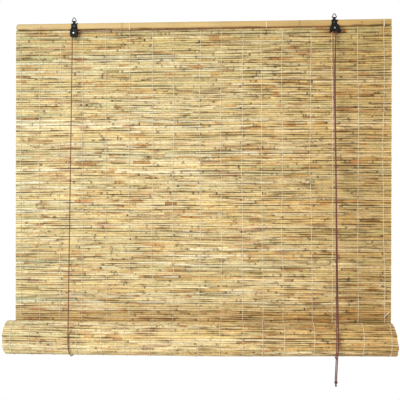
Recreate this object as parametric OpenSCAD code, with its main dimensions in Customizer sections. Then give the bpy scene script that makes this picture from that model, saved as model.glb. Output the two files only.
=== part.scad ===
// Roll-up reed blind: a mat of reeds between two head battens, hung by two wire rings,
// with its lower part rolled up in front in the slings of two lift cords.
// Millimetres. X to the right seen from the front, front towards -Y, Z up.
// The origin is on the line that the two hanging rings bear on, at the middle of the mat's width.
// The modules are drawn with the middle plane of the mat at Y = 0, and placed() sets the rings at Y = 0.

/* [Mat] */
// Width of the mat, the length of one reed
mat_w = 900; // [880:5:940]
// Diameter of one reed
reed_d = 4.6; // [4.4:0.1:4.7]
// Spacing of the reeds
reed_pitch = 4.8; // [4.75:0.01:4.9]
// Reeds from the head down to the roll
reed_rows = 156; // [120:1:190]
// Diameter of the string that binds the reeds
string_d = 1; // [0.8:0.1:1]

/* [Roll] */
// Radius of the rolled-up mat
roll_r = 40.9; // [37:0.1:45]
// Length of the roll, a little more than the mat because its turns have run to one side
roll_l = 907; // [890:1:940]
// Width of the bottom batten in the core of the roll
core_w = 22; // [14:1:30]
// Thickness of the bottom batten in the core of the roll
core_t = 6; // [4:1:8]

/* [Head] */
// Length of the two head battens
batten_l = 896; // [880:1:930]
// Height of the two head battens
batten_h = 14.6; // [14:0.1:15.5]
// Thickness of each head batten
batten_t = 6; // [5.5:0.1:6.5]

/* [Hangers] */
// Place of the left hanger along the head
left_x = -304.5; // [-330:0.5:-280]
// Place of the right hanger along the head
right_x = 317.5; // [290:0.5:330]
// Thickness of the strap sheet
strap_t = 0.8; // [0.6:0.1:0.9]
// Wire of the hanging rings
wire_d = 1.8; // [1.6:0.1:2]
// Outer radius of the pulleys
pulley_r = 6.2; // [5.8:0.1:6.2]
// Radius of the pulley pins
pin_r = 1.25; // [1:0.05:1.25]

/* [Cords] */
// Diameter of the lift and pull cords
cord_d = 2.6; // [2:0.1:2.6]
// Length of the pull cord below the middle of the roll
pull_l = 82; // [70:1:120]

/* [Hidden] */
$fn = 48;

rr = reed_d / 2;
mat_t = 4.8;                                  // one layer of mat in the roll
half_t = mat_t / 2;
batten_top = -12.5;
batten_bot = batten_top - batten_h;
tie_t = 1.2;                                  // the string of a tie, also the gap it takes below the battens
row0 = batten_top - 2.7;                      // middle of the top reed
function row_z(k) = row0 - k * reed_pitch - (k > 2 ? tie_t + 0.2 : 0);
roll_z = row_z(reed_rows - 1) - half_t;       // middle of the roll, where the hanging mat runs into it
roll_y = half_t - roll_r;
roll_cx = -3;
batten_cx = 3.5;
// irregular places of the binding strings, as the mat was woven
string_x = [-437, -392, -341, -285, -228, -172, -115, -65, -1, 50, 101, 147, 195, 263, 313, 374, 434];
tie_x = [-169.5, 158, 434];
nail_x = [-386, 382, 429];
nail_z = row_z(1);
hanger_nail_y = half_t + 1;                   // end of a hanger's nail, in the back batten
cr = cord_d / 2;
// hangers: layers of the strap from the batten forwards
strap_y = -half_t - batten_t;                 // front face of the front batten
fold_y = strap_y - strap_t;                   // between the two layers of the strap
layer_gap = 0.1;                              // the layers of the folded sheet lie against each other
bar_z = -8.3;                                 // straight foot of the ring
bar_r = wire_d / 2;
eye_r = bar_r + 0.06;                         // fold of the strap around the ring's foot
pin_z = -34.3;
left_pin_z = -37;                             // the left pulley sits lower in its strap
groove_r = 3.65;                              // middle of the cord on a pulley
groove_y = fold_y - 2.8;
groove2_y = groove_y - 3.6;
cheek_left = groove_y - 2.8;                  // inner face of the left front cheek
cheek_right = groove2_y - 2.8;
cam_x = right_x + 10.5;
cam_z = -40.3;
cam_r = 5.2;
roll_string = 0.7;                            // how far the strings stand proud of the roll
// cords
sling_r = roll_r + roll_string + 0.3 + cr;
left_cord_x = -300.5;
right_cord_x = 316;
back_y = roll_y + sling_r;
reach = norm([groove_y - roll_y, pin_z - roll_z]);
touch = atan2(pin_z - roll_z, groove_y - roll_y) + acos(sling_r / reach);   // where the cord leaves the roll in front
touch_y = roll_y + sling_r * cos(touch);
touch_z = roll_z + sling_r * sin(touch);
strand_a = [right_x + groove_r, groove2_y, pin_z];
strand_b = [right_x + groove_r, groove_y, pin_z];
knee_a = [316, -26.5, -115];                   // where the strands come together below the pulley
knee_b = [317.3, -23.2, -115];
low_a = [314.8, -89.4, roll_z];
low_b = [310, -87.2, roll_z];
end_z = roll_z - pull_l;
end_a = [310.2, -86.6, end_z];
end_b = [307.4, -86.6, end_z];

module placed() translate([0, half_t + batten_t + strap_t, 0]) children();

reed_c = [0.80, 0.72, 0.52];
batten_c = [0.79, 0.67, 0.43];
string_c = [0.92, 0.90, 0.83];
cord_c = [0.42, 0.22, 0.14];
black_c = [0.09, 0.09, 0.09];
steel_c = [0.72, 0.72, 0.72];

// a straight round bar between two points
module bar(a, b, r) {
  d = b - a;
  translate(a) rotate([0, acos(d[2] / norm(d)), atan2(d[1], d[0])]) cylinder(h = norm(d), r = r);
}
// a bar along +Y from y0 to y1
module ybar(x, z, y0, y1, r) translate([x, y0, z]) rotate([-90, 0, 0]) cylinder(h = y1 - y0, r = r);
// a section drawn in Y and Z, drawn out along X
module along_x(x0, l) translate([x0, 0, 0]) rotate([90, 0, 90]) linear_extrude(height = l) children();
// an outline drawn in X and Z, drawn out to the front
module along_y(x0) translate([x0, -4, 0]) rotate([90, 0, 0]) linear_extrude(height = 20) children();

// a round tube through a row of points
function unit(v) = v / norm(v);
function heading(p, i) = unit(p[min(i + 1, len(p) - 1)] - p[max(i - 1, 0)]);
module tube(p, r, side, n = 8) {
  pts = [for (i = [0:len(p) - 1]) let (t = heading(p, i), u = unit(cross(t, side)), v = cross(t, u))
    for (k = [0:n - 1]) p[i] + r * (cos(360 * k / n) * u + sin(360 * k / n) * v)];
  m = len(p);
  faces = concat(
    [[for (k = [0:n - 1]) n - 1 - k]],
    [for (i = [0:m - 2]) for (k = [0:n - 1]) [i * n + k, i * n + (k + 1) % n, (i + 1) * n + (k + 1) % n, (i + 1) * n + k]],
    [[for (k = [0:n - 1]) (m - 1) * n + k]]);
  polyhedron(points = pts, faces = [for (f = faces) [for (k = [len(f) - 1:-1:0]) f[k]]]);
}

// ---- head ----
module batten_section(out) polygon([[0, batten_top], [0, batten_bot], [out * (batten_t - 1.2), batten_bot],
  [out * batten_t, batten_bot + 1.2], [out * batten_t, batten_top - 1.2], [out * (batten_t - 1.2), batten_top]]);

module nail_holes() {
  for (x = [left_x, right_x]) ybar(x, nail_z, -20, hanger_nail_y, 0.9);
  for (x = nail_x) ybar(x, nail_z, -20, 6, 0.8);
}

module head_batten_front() color(batten_c) difference() {
  translate([0, -half_t, 0]) along_x(batten_cx - batten_l / 2, batten_l) batten_section(-1);
  nail_holes();
}

// the ties lie in shallow notches, so that the back stays flat against the wall
module head_batten_back() color(batten_c) difference() {
  translate([0, half_t, 0]) along_x(batten_cx - batten_l / 2, batten_l)
    polygon([[0, batten_top], [0, batten_bot], [batten_t, batten_bot], [batten_t, batten_top]]);
  nail_holes();
  for (x = tie_x) translate([x - 1.2, half_t + batten_t - tie_t - 0.1, batten_bot - 1]) cube([2.4, 5, batten_h + 2]);
  for (x = [left_cord_x, right_cord_x]) translate([x, back_y, batten_bot - 1]) cylinder(h = batten_h + 2, r = cr + 0.15);
}

module batten_ties() color(string_c) for (x = tie_x) {
  front = strap_y - tie_t;
  back = half_t + batten_t - 0.1;
  difference() {
    translate([x - 1.2, front, batten_bot - tie_t]) cube([2.4, back - front, batten_h + 2 * tie_t]);
    translate([x - 2, strap_y, batten_bot]) cube([4, back - tie_t - strap_y, batten_h]);
  }
}

module batten_nails() color([0.3, 0.26, 0.22]) for (x = nail_x) {
  ybar(x, nail_z, strap_y, 6, 0.8);
  ybar(x, nail_z, strap_y - 0.6, strap_y, 1.4);
}

// ---- mat ----
module reed(k) translate([-mat_w / 2, 0, row_z(k)]) rotate([0, 90, 0]) cylinder(h = mat_w, r = rr);

module reed_panel() color(reed_c) {
  for (k = [0, 2]) reed(k);
  difference() { reed(1); nail_holes(); }
  for (k = [3:reed_rows - 1]) reed(k);
}

module panel_strings() color(string_c) for (x = string_x) {
  r = string_d / 2;
  translate([x, -rr - r - 0.05, roll_z + 13]) cylinder(h = batten_bot - tie_t - 0.5 - roll_z - 13, r = r);
  translate([x, rr + r + 0.05, roll_z + 0.1]) cylinder(h = batten_bot - tie_t - 0.5 - roll_z - 0.1, r = r);
}

// one turn of the spiral as two half rounds: from the hanging mat down and forward, then up and back, half a layer smaller
module turn(x0, l, grow) {
  translate([x0, roll_y, roll_z]) half_round(l, roll_r + grow, -60);
  translate([x0, roll_y - mat_t / 2, roll_z]) half_round(l, roll_r - mat_t / 2 + grow, 0);
}
module half_round(l, r, low) intersection() {
  rotate([0, 90, 0]) cylinder(h = l, r = r, $fn = 96);
  translate([0, -60, low]) cube([l, 120, 60]);
}

module reed_roll() color(reed_c) difference() {
  union() {
    turn(roll_cx - roll_l / 2, roll_l, 0);
    translate([roll_cx - roll_l / 2, roll_y - 10, roll_z - 10]) cube([roll_l, 20, 20]);
  }
  core();
}
module core() translate([roll_cx - roll_l / 2, roll_y - core_t / 2, roll_z - core_w / 2]) cube([roll_l, core_t, core_w]);

module roll_strings() color(string_c) for (x = string_x) difference() {
  turn(x - string_d / 2, string_d, roll_string);
  turn(x - string_d, string_d * 2, 0.05);
  translate([x - 2, roll_y - 12, roll_z - 12]) cube([4, 24, 24]);
  translate([x - 2, -half_t - 1.2, roll_z]) cube([4, 20, 60]);
}

module bottom_batten() color(batten_c) core();

// ---- hangers ----
// section of the folded strap: the fold around the ring's foot, the flat back layer, and the front layer that steps forward to a cheek
module strap_section(cheek) {
  front = fold_y - layer_gap;
  outer = eye_r + strap_t;
  polygon(concat(
    [[fold_y, -60], [strap_y, -60], [strap_y, batten_top + 0.3], [fold_y + outer, bar_z - 0.9]],
    [for (a = [0:15:180]) [fold_y + outer * cos(a), bar_z + outer * sin(a)]],
    [[fold_y - outer, bar_z - 0.9], [front - strap_t, batten_top + 0.3], [front - strap_t, -22], [cheek - strap_t, -26.9],
     [cheek - strap_t, -60], [cheek, -60], [cheek, -27.4], [front, -22.6], [front, batten_top + 0.3], [fold_y - eye_r, bar_z - 0.9]],
    [for (a = [180:-15:0]) [fold_y + eye_r * cos(a), bar_z + eye_r * sin(a)]],
    [[fold_y + eye_r, bar_z - 0.9], [fold_y, batten_top + 0.3]]));
}

module left_hanger_strap() color(black_c) difference() {
  intersection() {
    along_x(left_x - 20, 40) strap_section(cheek_left);
    along_y(left_x) polygon(concat(
      [[-3.3, -5], [-3.3, -12.9], [-7.1, -12.9], [-7.1, -27.5], [-8.9, -29.5]],
      [for (a = [180:15:270]) [-5.9 + 3 * cos(a), -43.7 + 3 * sin(a)]],
      [for (a = [270:15:360]) [5.9 + 3 * cos(a), -43.7 + 3 * sin(a)]],
      [[8.9, -29.5], [7.1, -27.5], [7.1, -12.9], [3.3, -12.9], [3.3, -5]]));
  }
  ybar(left_x, nail_z, -20, 0, 0.9);
  ybar(left_x, left_pin_z, -25, 0, pin_r);
}

module right_hanger_strap() color(black_c) difference() {
  intersection() {
    along_x(right_x - 25, 50) strap_section(cheek_right);
    along_y(right_x) polygon([[-3.3, -5], [-3.3, -12.9], [-6.4, -12.9], [-6.4, -25.5], [-9.6, -28], [-11.2, -40.8], [-10.4, -42.2],
      [-5, -42.2], [-2.6, -41], [6, -41.2], [9.4, -44.6], [13.8, -44.6], [14.9, -43], [11.6, -35], [10, -28], [6.4, -25.5],
      [6.4, -16.6], [8.8, -15.4], [8.8, -13.6], [6.4, -12.9], [3.3, -12.9], [3.3, -5]]);
  }
  ybar(right_x, nail_z, -20, 0, 0.9);
  ybar(right_x, pin_z, -25, 0, pin_r);
  ybar(cam_x, cam_z, -25, 0, 1);
}

// three-cornered ring: a straight foot in the fold of the strap, two tight corners, and straight sides that meet in a round top
top_r = 2.3;
top_z = bar_r - top_r;
corner_r = 1.6;
corner_x = 3.6;
corner_z = bar_z + corner_r;
side_a = atan2(top_z - corner_z, -corner_x) - acos((corner_r - top_r) / norm([corner_x, top_z - corner_z]));   // which way the right side faces
module wire_arc(cx, cz, r, a0, a1) translate([cx, 0, cz]) rotate([90, 0, 0]) rotate([0, 0, a0])
  rotate_extrude(angle = a1 - a0) translate([r, 0]) circle(r = bar_r, $fn = 24);
module ring(x) color(black_c) translate([x, fold_y, 0]) {
  translate([-corner_x, 0, bar_z]) rotate([0, 90, 0]) cylinder(h = 2 * corner_x, r = bar_r, $fn = 24);
  wire_arc(corner_x, corner_z, corner_r, 270, 360 + side_a);
  wire_arc(-corner_x, corner_z, corner_r, 180 - side_a, 270);
  for (s = [-1, 1]) bar([s * (corner_x + corner_r * cos(side_a)), 0, corner_z + corner_r * sin(side_a)],
    [s * top_r * cos(side_a), 0, top_z + top_r * sin(side_a)], bar_r, $fn = 24);
  wire_arc(0, top_z, top_r, side_a, 180 - side_a);
}
module left_hanger_ring() ring(left_x);
module right_hanger_ring() ring(right_x);

module hanger_nail(x) color(steel_c) {
  ybar(x, nail_z, fold_y - layer_gap - strap_t, hanger_nail_y, 0.9);
  translate([x, fold_y - layer_gap - strap_t, nail_z]) rotate([90, 0, 0]) cylinder(h = 0.8, r1 = 1.8, r2 = 1);
}
module left_hanger_nail() hanger_nail(left_x);
module right_hanger_nail() hanger_nail(right_x);

// pulley profile: radius and height, with one groove or two
module pulley(x, z, grooves, y_back, y_front, bore_r) color([0.16, 0.15, 0.14]) translate([x, 0, z]) rotate([90, 0, 0]) rotate_extrude()
  difference() {
    translate([bore_r, -y_back]) square([pulley_r - bore_r, y_back - y_front]);
    for (g = grooves) {
      translate([groove_r, -g]) circle(r = 1.55);
      translate([groove_r, -g]) polygon([[0, -1.55], [4, -2.3], [4, 2.3], [0, 1.55]]);
    }
  }
module left_pulley() pulley(left_x, left_pin_z, [groove_y], fold_y - 0.3, cheek_left + 0.3, pin_r + 0.05);
module right_pulley() pulley(right_x, pin_z, [groove_y, groove2_y], fold_y - 0.3, cheek_right + 0.3, pin_r + 0.05);

module rivet(x, z, cheek, r, head) color(steel_c) {
  ybar(x, z, cheek - strap_t, strap_y, r);
  translate([x, cheek - strap_t, z]) rotate([90, 0, 0]) cylinder(h = 1, r1 = head, r2 = head * 0.6);
  ybar(x, z, strap_y, strap_y + 0.7, head - 0.2);
}
module left_pulley_pin() rivet(left_x, left_pin_z, cheek_left, pin_r, 2);
module right_pulley_pin() rivet(right_x, pin_z, cheek_right, pin_r, 2);
module lock_cam_pin() rivet(cam_x, cam_z, cheek_right, 1, 1.7);

// toothed cam that grips the two pull strands against the pulley's side
module lock_cam() color([0.16, 0.15, 0.14]) translate([cam_x, fold_y - 0.4, cam_z]) rotate([90, 0, 0])
  linear_extrude(height = fold_y - cheek_right - 0.8) difference() {
    polygon([for (a = [0:6:354]) let (lobe = a > 96 && a < 204, tooth = lobe && (a % 12 == 0) ? 0.5 : 0)
      (lobe ? cam_r - 0.5 + tooth : 3) * [cos(a), sin(a)]]);
    circle(r = 1.05);
  }

// ---- cords ----
module front_run(x0, z0, x1) bar([x0, groove_y, z0 - 0.2], [x1, touch_y, touch_z + 0.4], cr);
module sling(x) translate([x, roll_y, roll_z]) rotate([90, 0, 90]) rotate([0, 0, touch]) rotate_extrude(angle = 360 - touch)
  translate([sling_r, 0]) circle(r = cr, $fn = 24);
module back_run(x) translate([x, back_y, roll_z + 0.2]) cylinder(h = batten_top - roll_z - 0.2, r = cr);
module stop_knot(x) translate([x, back_y, batten_top]) rotate_extrude()
  polygon([[0, 0], [2, 0], [2.7, 1], [2.8, 2.2], [2.5, 3.4], [1.7, 4.4], [0, 4.8]]);

module left_cord_front() color(cord_c) front_run(left_x - groove_r, left_pin_z, left_cord_x);
module left_cord_sling() color(cord_c) sling(left_cord_x);
module left_cord_back() color(cord_c) back_run(left_cord_x);
module left_cord_knot() color(cord_c) stop_knot(left_cord_x);
module left_cord_cross() color(cord_c) tube(concat(
  [for (a = [180:-15:90]) [left_x + groove_r * cos(a), groove_y, left_pin_z + groove_r * sin(a)]],
  [for (a = [90:-15:0]) [right_x + groove_r * cos(a), groove2_y, pin_z + groove_r * sin(a)]]), cr, [0, 1, 0]);

module right_cord_front() color(cord_c) front_run(right_x - groove_r, pin_z, right_cord_x);
module right_cord_sling() color(cord_c) sling(right_cord_x);
module right_cord_back() color(cord_c) back_run(right_cord_x);
module right_cord_knot() color(cord_c) stop_knot(right_cord_x);
module right_cord_bend() color(cord_c) tube([for (a = [180:-15:0])
  [right_x + groove_r * cos(a), groove_y, pin_z + groove_r * sin(a)]], cr, [0, 1, 0]);

// the pull cord: the free ends of both lift cords, side by side over the front of the roll
down = [0, 0, 0.3];
function strand(s, k, l) = let (p = k + 0.4 * (s - k), q = k + 0.05 * (l - k)) [s - down, p, 0.25 * p + 0.5 * k + 0.25 * q, q, l + down];
module pull_cord_upper() color(cord_c) {
  tube(strand(strand_a, knee_a, low_a), cr, [0, 1, 0]);
  tube(strand(strand_b, knee_b, low_b), cr, [0, 1, 0]);
}
module pull_cord_lower() color(cord_c) {
  bar(low_a - down, end_a + 2 * down, cr);
  bar(low_b - down, end_b + 2 * down, cr);
}
module pull_knot() color(cord_c) translate([(end_a[0] + end_b[0]) / 2, end_a[1], end_z - 8]) {
  rotate_extrude() polygon([[0, 0], [1.6, 0.2], [2.9, 1.4], [3.4, 3.2], [3.4, 5], [3, 6.8], [2.2, 8], [0, 8]]);
  translate([0, 0, -6]) cylinder(h = 7, r = cr);
}

placed() head_batten_front();
placed() head_batten_back();
placed() batten_ties();
placed() batten_nails();
placed() reed_panel();
placed() panel_strings();
placed() reed_roll();
placed() roll_strings();
placed() bottom_batten();
placed() left_hanger_strap();
placed() left_hanger_ring();
placed() left_hanger_nail();
placed() left_pulley();
placed() left_pulley_pin();
placed() right_hanger_strap();
placed() right_hanger_ring();
placed() right_hanger_nail();
placed() right_pulley();
placed() right_pulley_pin();
placed() lock_cam();
placed() lock_cam_pin();
placed() left_cord_front();
placed() left_cord_sling();
placed() left_cord_back();
placed() left_cord_knot();
placed() left_cord_cross();
placed() right_cord_front();
placed() right_cord_sling();
placed() right_cord_back();
placed() right_cord_knot();
placed() right_cord_bend();
placed() pull_cord_upper();
placed() pull_cord_lower();
placed() pull_knot();
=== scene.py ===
import math
import bpy
import numpy as np
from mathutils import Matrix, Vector


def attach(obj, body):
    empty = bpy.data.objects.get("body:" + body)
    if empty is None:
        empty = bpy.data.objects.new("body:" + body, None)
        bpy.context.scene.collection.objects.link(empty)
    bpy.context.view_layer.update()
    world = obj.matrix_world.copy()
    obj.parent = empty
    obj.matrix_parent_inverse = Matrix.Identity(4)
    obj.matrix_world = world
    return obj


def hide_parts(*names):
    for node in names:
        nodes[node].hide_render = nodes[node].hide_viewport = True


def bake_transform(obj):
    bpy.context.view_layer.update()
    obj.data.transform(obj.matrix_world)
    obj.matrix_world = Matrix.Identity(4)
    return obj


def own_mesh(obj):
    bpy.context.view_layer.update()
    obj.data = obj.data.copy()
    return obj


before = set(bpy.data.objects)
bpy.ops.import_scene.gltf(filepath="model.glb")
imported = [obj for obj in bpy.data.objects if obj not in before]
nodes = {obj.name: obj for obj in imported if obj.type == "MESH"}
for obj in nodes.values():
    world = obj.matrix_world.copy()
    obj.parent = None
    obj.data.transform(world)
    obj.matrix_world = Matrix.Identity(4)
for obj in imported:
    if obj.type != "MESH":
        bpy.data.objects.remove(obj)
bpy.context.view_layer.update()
rng = np.random.default_rng(20817)

# ------------------------------------------------------------------ sizes, in mm, in the row frame
Y0 = 9.2                       # middle plane of the mat
PITCH = 4.8
ROWS = 156
BATTEN_TOP, BATTEN_BOT = -12.5, -27.1
LEFT_X, RIGHT_X = -304.5, 317.5
LEFT_CORD_X, RIGHT_CORD_X = -300.5, 316.0
PIN_Z = -34.3
LEFT_PIN_Z = -37.0
CORD_R = 1.3
GROOVE_R = 3.65
FOLD_Y = 0.0                   # between the two layers of a strap
GROOVE_Y = FOLD_Y - 2.8
GROOVE2_Y = GROOVE_Y - 3.6


def row_z(k):
    return BATTEN_TOP - 2.7 - k * PITCH - (1.4 if k > 2 else 0.0)


ROLL_Z = row_z(ROWS - 1) - 2.4
ROLL_R = 40.9
ROLL_Y = 2.4 - ROLL_R + Y0
SLING_R = ROLL_R + 0.7 + 0.3 + CORD_R
BACK_Y = ROLL_Y + SLING_R
STRINGS = [-437, -392, -341, -285, -228, -172, -115, -65, -1, 50, 101, 147, 195, 263, 313, 374, 434]
LIFT = 600.0

# ------------------------------------------------------------------ camera and light
scene = bpy.context.scene
cam_data = bpy.data.cameras.new("camera")
cam = bpy.data.objects.new("camera", cam_data)
scene.collection.objects.link(cam)
cam_data.sensor_fit = "HORIZONTAL"
cam_data.sensor_width = 36.0
cam_data.lens = 59.83
cam_data.clip_start = 0.02
cam_data.clip_end = 60.0
cam_data.dof.use_dof = False
yaw, pitch = 0.0545, 0.0056
cam.location = (0.08607, -1.5834, -0.4480)
look = Vector((-math.sin(yaw) * math.cos(pitch), math.cos(yaw) * math.cos(pitch), math.sin(pitch)))
cam.rotation_euler = look.to_track_quat("-Z", "Y").to_euler()
scene.camera = cam

scene.view_settings.view_transform = "Standard"
scene.view_settings.look = "None"
scene.view_settings.exposure = 0.0
scene.view_settings.gamma = 1.0

world = bpy.data.worlds.new("studio")
scene.world = world
world.use_nodes = True
wt = world.node_tree
wt.nodes.clear()
w_out = wt.nodes.new("ShaderNodeOutputWorld")
w_mix = wt.nodes.new("ShaderNodeMixShader")
w_path = wt.nodes.new("ShaderNodeLightPath")
w_lit = wt.nodes.new("ShaderNodeBackground")
w_seen = wt.nodes.new("ShaderNodeBackground")
w_lit.inputs["Color"].default_value = (1.0, 0.97, 0.93, 1)
w_lit.inputs["Strength"].default_value = 0.40
w_seen.inputs["Color"].default_value = (1, 1, 1, 1)
w_seen.inputs["Strength"].default_value = 1.0
wt.links.new(w_path.outputs["Is Camera Ray"], w_mix.inputs["Fac"])
wt.links.new(w_lit.outputs[0], w_mix.inputs[1])
wt.links.new(w_seen.outputs[0], w_mix.inputs[2])
wt.links.new(w_mix.outputs[0], w_out.inputs["Surface"])


def area_light(name, place, target, size, watts, colour):
    data = bpy.data.lights.new(name, "AREA")
    data.shape = "SQUARE"
    data.size = size
    data.energy = watts
    data.color = colour
    o = bpy.data.objects.new(name, data)
    scene.collection.objects.link(o)
    o.location = place
    o.rotation_euler = (Vector(target) - Vector(place)).to_track_quat("-Z", "Y").to_euler()
    return o


area_light("key", (-1.8, -2.75, 0.22), (-0.1, 0, -0.55), 2.0, 103, (1.0, 0.985, 0.955))
area_light("fill", (1.7, -2.6, -0.1), (0.1, 0, -0.5), 1.8, 14, (1.0, 0.95, 0.88))
area_light("behind", (0.4, 2.4, 0.9), (0, 0, -0.4), 1.8, 40, (1.0, 0.98, 0.95))


# ------------------------------------------------------------------ helpers
def lin(r, g, b):
    c = np.array([r, g, b], float) / 255.0
    return np.where(c <= 0.04045, c / 12.92, ((c + 0.055) / 1.055) ** 2.4)


def wander(x, step, r):
    """Smooth noise along x, about one unit high."""
    x = np.asarray(x, float)
    t = (x - x.min()) / step + r.random()
    k = r.normal(size=int(t.max()) + 3)
    i = np.floor(t).astype(int)
    f = t - i
    f = f * f * (3 - 2 * f)
    return k[i] * (1 - f) + k[i + 1] * f


def smooth(a, b, x):
    t = np.clip((np.asarray(x, float) - a) / (b - a), 0, 1)
    return t * t * (3 - 2 * t)


class Pile:
    """Vertices, faces and vertex colours that become one mesh."""

    def __init__(self):
        self.v, self.f, self.c, self.n = [], [], [], 0

    def add(self, v, f, c):
        self.v.append(np.asarray(v, float))
        self.c.append(np.asarray(c, float))
        self.f.extend((np.asarray(q) + self.n).tolist() for q in f)
        self.n += len(v)

    def rings(self, R, C, flip=False, cap=(False, False)):
        """R (m, s, 3) rings of points joined into a skin, C (m, s, 3) their colours."""
        m, s = R.shape[:2]
        i = np.arange(m - 1)[:, None] * s
        k = np.arange(s)[None, :]
        k1 = (k + 1) % s
        q = np.stack([i + k, i + k1, i + s + k1, i + s + k], -1).reshape(-1, 4)
        if flip:
            q = q[:, ::-1]
        faces = q + self.n
        self.f.extend(faces.tolist())
        for end, on in enumerate(cap):
            if on:
                ring = np.arange(s) + (0 if end == 0 else (m - 1) * s) + self.n
                if (end == 0) != flip:
                    ring = ring[::-1]
                self.f.append(ring.tolist())
        self.v.append(R.reshape(-1, 3))
        self.c.append(np.clip(C, 0, 1).reshape(-1, 3))
        self.n += m * s

    def build(self, name, material, body, smooth_faces=True):
        mesh = bpy.data.meshes.new(name)
        v = np.concatenate(self.v) * 0.001
        mesh.from_pydata(v.tolist(), [], self.f)
        c = np.concatenate(self.c)
        a = mesh.color_attributes.new("Col", "FLOAT_COLOR", "POINT")
        a.data.foreach_set("color", np.column_stack([c, np.ones(len(c))]).astype(np.float32).ravel())
        if smooth_faces:
            mesh.polygons.foreach_set("use_smooth", np.ones(len(mesh.polygons), bool))
        mesh.materials.append(material)
        mesh.validate()
        mesh.update()
        o = bpy.data.objects.new(name, mesh)
        scene.collection.objects.link(o)
        if body:
            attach(o, body)
        return o


# ------------------------------------------------------------------ materials
def material(name):
    m = bpy.data.materials.new(name)
    m.use_nodes = True
    t = m.node_tree
    return m, t, t.nodes["Principled BSDF"]


def grain(t, scale, size=1.0, detail=3.0, rough=0.6):
    """Noise in the row frame, in cycles per metre along X, Y and Z."""
    co = t.nodes.new("ShaderNodeTexCoord")
    mp = t.nodes.new("ShaderNodeMapping")
    mp.inputs["Scale"].default_value = scale
    n = t.nodes.new("ShaderNodeTexNoise")
    n.inputs["Scale"].default_value = size
    n.inputs["Detail"].default_value = detail
    n.inputs["Roughness"].default_value = rough
    t.links.new(co.outputs["Object"], mp.inputs["Vector"])
    t.links.new(mp.outputs["Vector"], n.inputs["Vector"])
    return n.outputs["Fac"]


def spread(t, value, a, b, lo, hi):
    n = t.nodes.new("ShaderNodeMapRange")
    n.inputs["From Min"].default_value = a
    n.inputs["From Max"].default_value = b
    n.inputs["To Min"].default_value = lo
    n.inputs["To Max"].default_value = hi
    t.links.new(value, n.inputs["Value"])
    return n.outputs["Result"]


def times(t, a, b):
    n = t.nodes.new("ShaderNodeMath")
    n.operation = "MULTIPLY"
    t.links.new(a, n.inputs[0])
    t.links.new(b, n.inputs[1])
    return n.outputs[0]


def painted(t, factor):
    """The vertex colour times a factor."""
    a = t.nodes.new("ShaderNodeVertexColor")
    a.layer_name = "Col"
    s = t.nodes.new("ShaderNodeVectorMath")
    s.operation = "SCALE"
    t.links.new(a.outputs["Color"], s.inputs[0])
    t.links.new(factor, s.inputs["Scale"])
    return s.outputs["Vector"]


def bump(t, value, strength, distance):
    n = t.nodes.new("ShaderNodeBump")
    n.inputs["Strength"].default_value = strength
    n.inputs["Distance"].default_value = distance
    t.links.new(value, n.inputs["Height"])
    return n.outputs["Normal"]


def reed_material():
    m, t, p = material("reed")
    fibre = grain(t, (22, 1500, 1500), 1.0, 3.0, 0.62)
    blotch = grain(t, (45, 240, 240), 1.0, 4.0, 0.6)
    fleck = grain(t, (170, 460, 460), 1.0, 2.0, 0.5)
    f = times(t, spread(t, fibre, 0.3, 0.7, 0.90, 1.08), spread(t, blotch, 0.32, 0.68, 0.90, 1.08))
    f = times(t, f, spread(t, fleck, 0.3, 0.7, 0.78, 1.19))
    t.links.new(painted(t, f), p.inputs["Base Color"])
    t.links.new(spread(t, blotch, 0.3, 0.7, 0.40, 0.60), p.inputs["Roughness"])
    t.links.new(bump(t, fibre, 0.35, 0.0003), p.inputs["Normal"])
    p.inputs["Specular IOR Level"].default_value = 0.4
    return m


def batten_material():
    m, t, p = material("batten")
    fibre = grain(t, (7, 620, 620), 1.0, 5.0, 0.65)
    vein = grain(t, (3, 150, 150), 1.0, 3.0, 0.55)
    f = times(t, spread(t, fibre, 0.28, 0.72, 0.84, 1.10), spread(t, vein, 0.3, 0.7, 0.88, 1.08))
    t.links.new(painted(t, f), p.inputs["Base Color"])
    t.links.new(spread(t, fibre, 0.3, 0.7, 0.36, 0.58), p.inputs["Roughness"])
    t.links.new(bump(t, fibre, 0.4, 0.0004), p.inputs["Normal"])
    return m


def thread_material(name, rough, lo, hi, cell):
    m, t, p = material(name)
    fuzz = grain(t, (cell, cell, cell), 1.0, 4.0, 0.7)
    patch = grain(t, (60, 60, 60), 1.0, 2.0, 0.5)
    f = times(t, spread(t, fuzz, 0.3, 0.7, lo, hi), spread(t, patch, 0.3, 0.7, 0.90, 1.06))
    t.links.new(painted(t, f), p.inputs["Base Color"])
    p.inputs["Roughness"].default_value = rough
    t.links.new(bump(t, fuzz, 0.5, 0.0003), p.inputs["Normal"])
    p.inputs["Sheen Weight"].default_value = 0.15
    return m


def metal_material(name, dark, light, metallic, r0, r1, cell, at=0.6):
    """A coat or bare metal with specks of another tone, and uneven gloss."""
    m, t, p = material(name)
    speck = grain(t, (cell, cell, cell), 1.0, 5.0, 0.65)
    wide = grain(t, (160, 160, 160), 1.0, 3.0, 0.5)
    ramp = t.nodes.new("ShaderNodeValToRGB")
    ramp.color_ramp.elements[0].position = at
    ramp.color_ramp.elements[0].color = (*dark, 1)
    ramp.color_ramp.elements[1].position = at + 0.16
    ramp.color_ramp.elements[1].color = (*light, 1)
    t.links.new(speck, ramp.inputs["Fac"])
    t.links.new(ramp.outputs["Color"], p.inputs["Base Color"])
    p.inputs["Metallic"].default_value = metallic
    t.links.new(spread(t, wide, 0.3, 0.7, r0, r1), p.inputs["Roughness"])
    t.links.new(bump(t, speck, 0.12, 0.0002), p.inputs["Normal"])
    return m


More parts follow.
